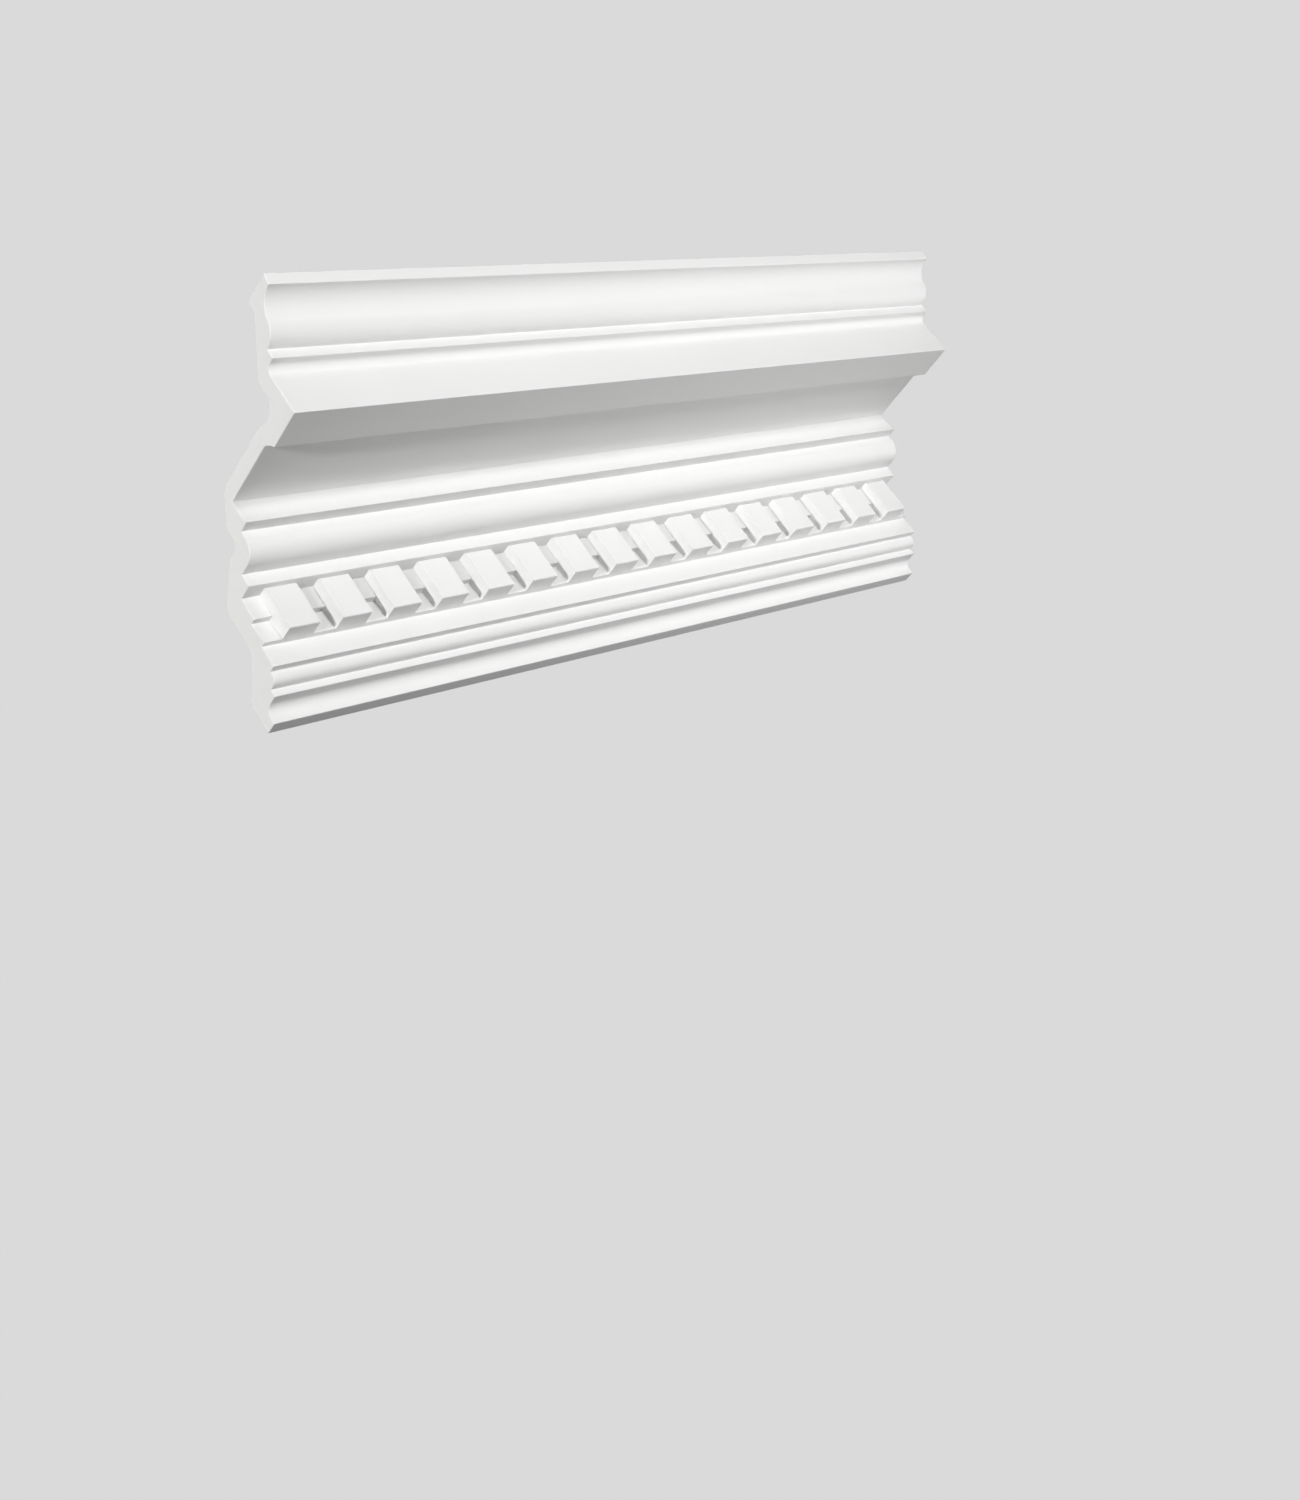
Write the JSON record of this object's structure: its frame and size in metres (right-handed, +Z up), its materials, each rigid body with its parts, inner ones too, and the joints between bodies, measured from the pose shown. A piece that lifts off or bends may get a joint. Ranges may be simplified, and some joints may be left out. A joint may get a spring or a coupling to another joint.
{
  "type": "dentil cornice moulding length",
  "caption": "Straight length of hollow-backed cornice moulding with dentils, corona and cyma, glued along the corner of a wall and a ceiling.",
  "frame": {"origin": "middle of the narrow flat strip that is glued to the wall, half-way along the length", "axes": "+X along the moulding to the right as seen from the room, +Y into the wall, +Z up to the ceiling"},
  "size_m": [0.568, 0.18, 0.155],
  "materials": {
    "white_foam": "smooth white primed skin on fine rigid foam, matt"
  },
  "bodies": {
    "root": {"cornice_moulding": "white_foam"}
  },
  "joints": []
}
